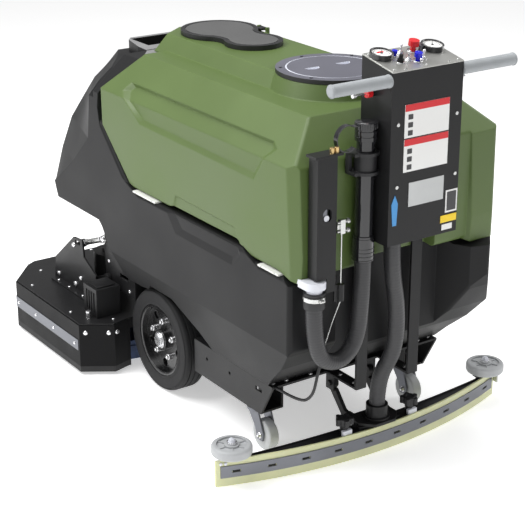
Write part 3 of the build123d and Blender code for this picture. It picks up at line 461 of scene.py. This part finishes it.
def spline_points(points, step):
    """Points at even steps along the route's spline, as Blender evaluates it."""
    guide = route_curve("guide", points, 0.0)
    bpy.context.view_layer.update()
    evaluated = guide.evaluated_get(bpy.context.evaluated_depsgraph_get())
    mesh = bpy.data.meshes.new_from_object(evaluated)
    raw = [v.co.copy() for v in mesh.vertices]
    bpy.data.objects.remove(guide)
    bpy.data.meshes.remove(mesh)
    lengths = [0.0]
    for a, b in zip(raw, raw[1:]):
        lengths.append(lengths[-1] + (b - a).length)
    total = lengths[-1]
    count = max(2, round(total / step))
    made = []
    i = 0
    for k in range(count + 1):
        target = total * k / count
        while i < len(raw) - 2 and lengths[i + 1] < target:
            i += 1
        share = (target - lengths[i]) / max(lengths[i + 1] - lengths[i], 1e-9)
        made.append(raw[i].lerp(raw[i + 1], share))
    return made, total


def tube_mesh(points, radius, ribs, pitch, steps=32):
    """A hose wall round the points, with shallow ribs a pitch apart."""
    bm = bmesh.new()
    side = None
    rings = []
    walked = 0.0
    for i, point in enumerate(points):
        ahead = points[min(i + 1, len(points) - 1)]
        behind = points[max(i - 1, 0)]
        axis = (ahead - behind).normalized()
        if i:
            walked += (point - points[i - 1]).length
        side = axis.orthogonal() if side is None else side - axis * side.dot(axis)
        side.normalize()
        across = axis.cross(side)
        wave = 0.5 - 0.5 * math.cos(2 * math.pi * walked / pitch)
        reach = radius - ribs * wave ** 3
        ring = []
        for k in range(steps):
            angle = 2 * math.pi * k / steps
            ring.append(bm.verts.new(
                point + (side * math.cos(angle) + across * math.sin(angle)) * reach))
        rings.append(ring)
    for low, high in zip(rings, rings[1:]):
        for k in range(steps):
            bm.faces.new((low[k], low[(k + 1) % steps], high[(k + 1) % steps], high[k]))
    bm.faces.new(rings[0])
    bm.faces.new(rings[-1])
    return bm


def loose_piece(name, bm, finish):
    obj = place_piece(name, bm, "chassis", finish)
    obj.parent = None
    obj.matrix_world = Matrix.Identity(4)
    del obj["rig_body"]
    return obj


drain_route = [
    (0.1395, 0.719, 0.610), (0.1395, 0.719, 0.520), (0.153, 0.719, 0.385),
    (0.215, 0.719, 0.340), (0.288, 0.719, 0.385), (0.288, 0.719, 0.515),
]
drain_points, drain_length = spline_points(drain_route, 0.0015)
cuff = bmesh.new()
lathe(cuff, [(20, 0), (26.2, 0), (27, 1.5), (27, 36), (26.4, 37.5), (27, 39), (27, 41.5), (25, 42),
             (20, 42), (20, 0)], (0.288, 0.719, 0.513), (0, 0, 1), 48)
drain_cuff = place_piece("drain_cuff", cuff, "chassis", finishes["black_plastic"])
drain_hose = place_piece("drain_hose_tube", tube_mesh(drain_points, 0.0215, 0.0005, 0.0075),
                         "chassis", finishes["hose_rubber"])
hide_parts("drain_hose")

vacuum_route = [
    (0.031, 0.700, 0.640), (0.031, 0.700, 0.560), (-0.012, 0.678, 0.430), (-0.020, 0.666, 0.300),
    (0.0, 0.622, 0.208), (0.0, 0.622, 0.132),
]
vacuum_points, vacuum_length = spline_points(vacuum_route, 0.0015)
vacuum_hose = loose_piece("vacuum_hose_tube", tube_mesh(vacuum_points, 0.022, 0.0004, 0.009),
                          finishes["hose_rubber"])
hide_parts("vacuum_hose")
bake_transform(vacuum_hose)

core_route = [(0.222, 0.738, 0.523), (0.223, 0.712, 0.465), (0.224, 0.692, 0.412),
              (0.236, 0.688, 0.366)]
cover_route = [(0.236, 0.688, 0.366), (0.252, 0.688, 0.305), (0.262, 0.684, 0.250),
               (0.270, 0.640, 0.216), (0.270, 0.533, 0.216)]
core_length = spline_points(core_route, 0.002)[1]
cover_length = spline_points(cover_route, 0.002)[1]
lift_core = route_curve("lift_cable_core", core_route, 0.0016)
lift_core.data.materials.append(finishes["zinc"])
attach(lift_core, "chassis")
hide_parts("cable_sheath")
lift_cover = route_curve("lift_cable_cover", cover_route, 0.004)
lift_cover.data.materials.append(finishes["black_plastic"])
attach(lift_cover, "chassis")
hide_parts("cable_sheath")


# ---- fittings on the scrub deck ----
bolts = bmesh.new()
for side in (1, -1):
    chamfer = Vector((0.055, 0.088, 0)).normalized()
    chamfer.x *= side
    for x, y in ((434, -221.5), (376, -183.2)):
        fastener(bolts, DOME, 7.5, (side * x * MM, y * MM, 0.138), chamfer)
    back = Vector((side * -0.016, 0.054, 0)).normalized()
    fastener(bolts, DOME, 7.5, (side * 0.352, -0.1772, 0.138), back)
    for y in (-640, -520, -400, -262):
        fastener(bolts, DOME, 5.0, (side * 0.4515, y * MM, 0.095), (side, 0, 0))
    for y in (-570, -500, -410):
        fastener(bolts, DOME, 5.5, (side * 0.340, y * MM, 0.171), (0, 0, 1))
    for x, y, z in ((328, -441, 216), (328, -370, 200), (328, -590, 186)):
        fastener(bolts, DOME, 8.0, (side * x * MM, y * MM, z * MM), (side, 0, 0))
    fastener(bolts, DOME, 9.0, (side * 0.328, -0.478, 0.186), (side, 0, 0))
    fastener(bolts, DOME, 9.0, (side * 0.328, -0.478, 0.316), (side, 0, 0))
    for x, y in ((345, -690), (250, -755), (120, -765), (345, -210), (425, -330), (425, -590)):
        fastener(bolts, DOME, 5.5, (side * x * MM, y * MM, 0.165), (0, 0, 1))
place_piece("deck_bolts", bolts, "deck", chrome)

plates = bmesh.new()
for side in (1, -1):
    slab(plates, (side * 0.344, -0.278, 0.256), (1, 0, 0), (0, 1, 0), 62, 60, 4, 8)
    for k in range(4):
        slab(plates, (side * (0.322 + 0.0145 * k), -0.2382, 0.212), (1, 0, 0), (0, 0, 1),
             5, 62, 3.5, 2)
        slab(plates, (side * 0.384, -0.300 + 0.0145 * k, 0.212), (0, 1, 0), (0, 0, 1), 5, 62, 3.0,
             2)
place_piece("gear_ribs", plates, "deck", finishes["black_metal"])

nuts = bmesh.new()
for side in (1, -1):
    fastener(nuts, NUT, 4.0, (side * 0.299, -0.330, 0.245), (side, 0, 0), 6)
place_piece("arm_nuts", nuts, "arms", chrome)

lock_nuts = bmesh.new()
for side in (1, -1):
    rear = Vector((side * 0.297, -0.330, 0.375))
    front = Vector((side * 0.297, -0.478, 0.316))
    line = (front - rear).normalized()
    for start, way in ((rear + line * 0.030, 1), (front - line * 0.030, -1)):
        lathe(lock_nuts, [(5, -7), (10.5, -7), (11, -6), (11, 0), (10.5, 1), (5, 1)], start,
              line * way, 6)
    fastener(lock_nuts, DOME, 11.0, rear + Vector((side * 0.007, 0, 0)), (side, 0, 0))
    fastener(lock_nuts, DOME, 11.0, front + Vector((side * 0.007, 0, 0)), (side, 0, 0))
place_piece("turnbuckle_nuts", lock_nuts, "turnbuckles", chrome)

# ---- wheels ----
for name, side in (("left", 1), ("right", -1)):
    hub = bmesh.new()
    lathe(hub, [(14.5, 0), (24, 0), (25, 1), (25, 3), (14.5, 3.5)],
          (side * 0.294, -0.023, 0.1535), (side, 0, 0), 36)
    lathe(hub, [(14.2, 3), (19.5, 3), (20, 3.6), (20, 8.5), (19, 9.4), (14.2, 9.4)],
          (side * 0.294, -0.023, 0.1535), (side, 0, 0), 6)
    for k in range(5):
        angle = math.radians(72 * k + 90)
        fastener(hub, NUT, 6.5, (side * 0.288, -0.023 + 0.055 * math.cos(angle),
                                 0.1535 + 0.055 * math.sin(angle)), (side, 0, 0), 6)
    place_piece("hub_nuts_" + name, hub, "drive_wheel_" + name, chrome)
    rings = bmesh.new()
    lathe(rings, [(98.5, 0), (107, 0), (107.6, 0.8), (106.5, 1.8), (100.5, 1.2), (98.5, 0)],
          (side * 0.296, -0.023, 0.1535), (side, 0, 0), 96)
    place_piece("rim_ring_" + name, rings, "drive_wheel_" + name, rim_black)
    bead = bmesh.new()
    for radius in (116, 146):
        lathe(bead, [(radius, -0.5), (radius + 0.4, 0.7), (radius + 1.6, 0.7), (radius + 2, -0.5)],
              (side * 0.2999, -0.023, 0.1535), (side, 0, 0), 96)
    place_piece("tyre_lines_" + name, bead, "drive_wheel_" + name, finishes["tyre_rubber"])
    caster = bmesh.new()
    for way in (1, -1):
        fastener(caster, NUT, 7.0, (side * 0.250 + way * 0.022, 0.458, 0.043), (way, 0, 0), 6)
    place_piece("caster_nuts_" + name, caster, "caster_swivel_" + name, chrome)
    roller = bmesh.new()
    centre = (side * 0.437, 0.573, 0.119)
    lathe(roller, [(8, -4.6), (12, -4.4), (14, -3.4), (18, -3.2), (20.2, -1.5), (20.2, 0.2)],
          centre, (0, 0, 1), 40)
    for k in range(6):
        angle = math.radians(60 * k)
        out = Vector((math.cos(angle), math.sin(angle), 0))
        across = Vector((-math.sin(angle), math.cos(angle), 0))
        slab(roller, Vector(centre) + out * 0.030 + Vector((0, 0, -0.0050)), out, across, 18, 3.2,
             3.4, 1.4)
    place_piece("roller_hub_" + name, roller, "squeegee_roller_" + name, finishes["wheel_grey"])

BLADE_RADIUS = 1.373
BLADE_CENTRE_Y = 0.652 - BLADE_RADIUS
roller_nuts = bmesh.new()
for side in (1, -1):
    fastener(roller_nuts, NUT, 8.5, (side * 0.437, 0.573, 0.126), (0, 0, 1), 6)
    slab(roller_nuts, (side * 0.112, 0.636, 0.074), (1, 0, 0), (0, 1, 0), 30, 11, 15, 2)
    for x, y in ((0.458, 0.0), (0.470, 0.0)):
        edge = math.sqrt(BLADE_RADIUS ** 2 - x ** 2) + BLADE_CENTRE_Y
        line = Vector((side * x, edge - BLADE_CENTRE_Y, 0)).normalized()
        fastener(roller_nuts, DOME, 4.5, (side * x, edge + 0.0026, 0.068), line)
place_piece("squeegee_fasteners", roller_nuts, "squeegee_assembly", pale_ring)

tabs = bmesh.new()
for k in range(10):
    angle = math.radians((k - 4.5) * 4.05)
    out = Vector((math.sin(angle), math.cos(angle), 0))
    across = Vector((math.cos(angle), -math.sin(angle), 0))
    place = Vector((0, BLADE_CENTRE_Y, 0.043)) + out * (BLADE_RADIUS + 0.0001)
    slab(tabs, place, (0, 0, 1), across * -1, 6.2, 21, 2.2, 1.2)
place_piece("strap_tabs", tabs, "squeegee_assembly", slot_dark)

# ---- squeegee knobs ----
for name, side in (("left", 1), ("right", -1)):
    cap = bmesh.new()
    lathe(cap, [(17, 0), (16, 1.2), (12, 2.0), (9, 1.0), (8.4, 0.4), (0, 0.4)],
          (side * 0.112, 0.624, 0.121), (0, 0, 1), 30)
    place_piece("knob_cap_" + name, cap, "clamp_knob_" + name, finishes["black_plastic"])

# ---- chassis fittings ----
frame_bolts = bmesh.new()
for side in (1, -1):
    for x, y in ((266, 512), (226, 516), (150, 520)):
        fastener(frame_bolts, DOME, 7.0, (side * x * MM, y * MM, 0.219), (0, 0, 1))
    for y in (392, 462):
        fastener(frame_bolts, DOME, 5.5, (side * 0.268, y * MM, 0.119), (0, 0, -1))
    for y, z in ((-330, 405), (-330, 300), (-210, 240)):
        fastener(frame_bolts, DOME, 6.0, (side * 0.286, y * MM, z * MM), (side, 0, 0))
    for y in (505, 570, 630):
        fastener(frame_bolts, DOME, 6.0, (side * 0.087, y * MM, 0.219), (0, 0, 1))
place_piece("frame_bolts", frame_bolts, "chassis", chrome)

clamp = bmesh.new()
lathe(clamp, [(27.1, 0), (28.3, 0.3), (28.3, 10.7), (27.1, 11), (27.1, 0)],
      (0.288, 0.719, 0.535), (0, 0, 1), 56)
lathe(clamp, [(0, -7), (4, -7), (4.4, -6), (4.4, 6), (4, 7), (0, 7)], (0.288, 0.7515, 0.5405),
      (1, 0, 0), 14)
place_piece("hose_clamp", clamp, "chassis", finishes["zinc"])

tube_rings = bmesh.new()
for z in (612, 622, 632, 642):
    lathe(tube_rings, [(27, -1.6), (28.2, -0.8), (28.2, 0.8), (27, 1.6)],
          (0.1395, 0.719, z * MM), (0, 0, 1), 48)
lathe(tube_rings, [(23, -1), (26, 0), (26, 6), (23, 7)], (0.1395, 0.719, 0.668), (0, 0, 1), 48)
place_piece("tube_collars", tube_rings, "chassis", finishes["gloss_black"])

cap_ribs = bmesh.new()
for k in range(24):
    angle = 2 * math.pi * k / 24
    out = Vector((math.cos(angle), math.sin(angle), 0))
    across = Vector((-math.sin(angle), math.cos(angle), 0))
    slab(cap_ribs, Vector((0.1395, 0.719, 0.9540)) + out * 0.0274, (0, 0, 1), across * -1, 13, 3,
         1.4, 1.2, 2)
lathe(cap_ribs, [(24, 0), (22, 1.6), (12, 2.2), (0, 2.2)], (0.1395, 0.719, 0.962), (0, 0, 1), 40)
place_piece("cap_grip", cap_ribs, "cap", finishes["gloss_black"])

clevis_caps = bmesh.new()
for z in (706, 729):
    fastener(clevis_caps, DOME, 7.0, (0.203, 0.738, z * MM), (-1, 0, 0))
place_piece("clevis_caps", clevis_caps, "clevis", chrome)

# ---- grips ----
collars = bmesh.new()
for side in (1, -1):
    for x in (112, 281):
        lathe(collars, [(15.4, 0), (16.6, 0.8), (16.6, 3.4), (15.4, 4.2)],
              (side * x * MM, 0.767, 1.067), (side, 0, 0), 40)
    for k in range(20):
        x = 128 + 7.2 * k
        lathe(collars, [(15.4, 0), (15.75, 0.7), (15.4, 1.4)], (side * x * MM, 0.767, 1.067),
              (side, 0, 0), 40)
place_piece("grip_rings", collars, "chassis", finishes["grip_grey"])

# ---- control panel ----
for name, x in (("left", 80), ("right", -79)):
    dial = bmesh.new()
    side = Vector((1, 0, 0))
    up = PANEL_NORMAL.cross(side)
    centre = on_panel(x, 694, 10.1)
    for k in range(25):
        angle = math.radians(210 - 10 * k)
        out = side * math.cos(angle) + up * -math.sin(angle)
        across = PANEL_NORMAL.cross(out)
        size = 5.0 if k % 4 == 0 else 2.6
        slab(dial, centre + out * 0.0195, out, across, size, 0.9, 0.25, 0.2, 1)
    needle = side * math.cos(2.2) + up * -math.sin(2.2)
    slab(dial, centre + needle * 0.007, needle, PANEL_NORMAL.cross(needle), 18, 1.3, 0.6, 0.5, 1)
    lathe(dial, [(3, 0), (3, 1.2), (0, 1.6)], centre, PANEL_NORMAL, 18)
    place_piece("dial_marks_" + name, dial, "chassis", label_ink, True)
    bezel = bmesh.new()
    lathe(bezel, [(24.8, 0), (25.4, 0.6), (28.6, 0.6), (29.3, 0)], on_panel(x, 694, 13),
          PANEL_NORMAL, 56)
    place_piece("dial_bezel_" + name, bezel, "chassis", finishes["gloss_black"])
window = bmesh.new()
slab(window, on_panel(80, 688, 10.1), (1, 0, 0), PANEL_NORMAL.cross(Vector((1, 0, 0))), 20, 7, 0.5,
     0.6, 2)
place_piece("dial_window", window, "chassis", label_red)

seats = bmesh.new()
for x, y, radius in ((43, 698, 9), (6, 742, 12), (-22, 689, 15), (-43, 694, 8), (26, 731, 9),
                     (-15, 737, 9), (18, 690, 9), (54, 735, 10)):
    lathe(seats, [(radius - 1.5, 0), (radius, 0), (radius + 0.6, 0.5), (radius, 1.5),
                  (radius - 1.5, 1.8)], on_panel(x, y), PANEL_NORMAL, 30)
for x, y in ((26, 731), (-15, 737), (18, 690)):
    lathe(seats, [(6.5, 1.5), (8.0, 1.5), (8.0, 4.0), (6.5, 4.4)], on_panel(x, y), PANEL_NORMAL, 6)
place_piece("control_rings", seats, "chassis", chrome)

panel_trim = bmesh.new()
for x, y in ((-100, 671), (100, 671), (-100, 768), (100, 768), (0, 768)):
    fastener(panel_trim, DOME, 3.2, on_panel(x, y), PANEL_NORMAL, 14)
place_piece("panel_screws", panel_trim, "chassis", finishes["zinc"])

# ---- plain plates on the column: colour bands and frames, no lettering ----
bands = bmesh.new()
for low, high in ((836, 919), (922, 1005)):
    slab(bands, (0, 0.7792, (high - 8.5) * MM), (0, 0, 1), (1, 0, 0), 17, 139, 0.4, 1)
place_piece("plate_bands", bands, "chassis", label_red, True)
marks = bmesh.new()
for low in (836, 922):
    for row in range(3):
        slab(marks, (0.052, 0.7792, (low + 12 + 20 * row) * MM), (0, 0, 1), (1, 0, 0), 13, 15, 0.3,
             1.5)
slab(marks, (-0.090, 0.7792, 0.7355), (0, 0, 1), (1, 0, 0), 50, 30, 0.3, 2)
place_piece("plate_marks", marks, "chassis", label_ink, True)

# ---- tank fittings ----
seam = bmesh.new()
for side in (1, -1):
    for y, z in ((-62, 602.5), (24, 602.5), (560, 581.5), (618, 581.5)):
        fastener(seam, DOME, 1.9, (side * 0.337, y * MM, z * MM), (side, 0, 0), 14)
place_piece("pad_pins", seam, "chassis", finishes["zinc"])

# ---- floor and light ----
floor_mesh = bpy.data.meshes.new("floor")
floor_bm = bmesh.new()
bmesh.ops.create_grid(floor_bm, x_segments=8, y_segments=8, size=14.0)
floor_bm.to_mesh(floor_mesh)
floor_bm.free()
floor = bpy.data.objects.new("floor", floor_mesh)
floor.location.z = -0.0005
floor_mesh.materials.append(material("studio_floor", tone(252, 252, 252), 0.55, vary=0.005,
                                     patch=0.5, grain=40, bump=0.0, edge=1.0))
floor_shader = floor_mesh.materials[0].node_tree.nodes["Principled BSDF"]
floor_shader.inputs["Emission Color"].default_value = (1.0, 1.0, 1.0, 1.0)
floor_shader.inputs["Emission Strength"].default_value = 0.46
scene.collection.objects.link(floor)


def area_light(name, place, aim, size, power):
    data = bpy.data.lights.new(name, "AREA")
    data.shape = "DISK"
    data.size = size
    data.energy = power
    obj = bpy.data.objects.new(name, data)
    obj.location = place
    obj.rotation_euler = (Vector(aim) - Vector(place)).to_track_quat("-Z", "Y").to_euler()
    scene.collection.objects.link(obj)


area_light("key", (2.6, -0.9, 3.6), (0, 0, 0.5), 2.6, 118)
area_light("top", (0.2, -0.3, 4.6), (0, 0, 0), 3.4, 112)
area_light("fill", (1.2, 4.4, 2.4), (0, 0.3, 0.5), 2.0, 18)
area_light("back", (-3.2, 0.6, 2.8), (0, 0, 0.6), 2.0, 36)
world = bpy.data.worlds.new("studio")
world.use_nodes = True
world.node_tree.nodes["Background"].inputs["Color"].default_value = (1.0, 1.0, 1.0, 1.0)
world.node_tree.nodes["Background"].inputs["Strength"].default_value = 0.34
scene.world = world
scene.view_settings.view_transform = "Standard"
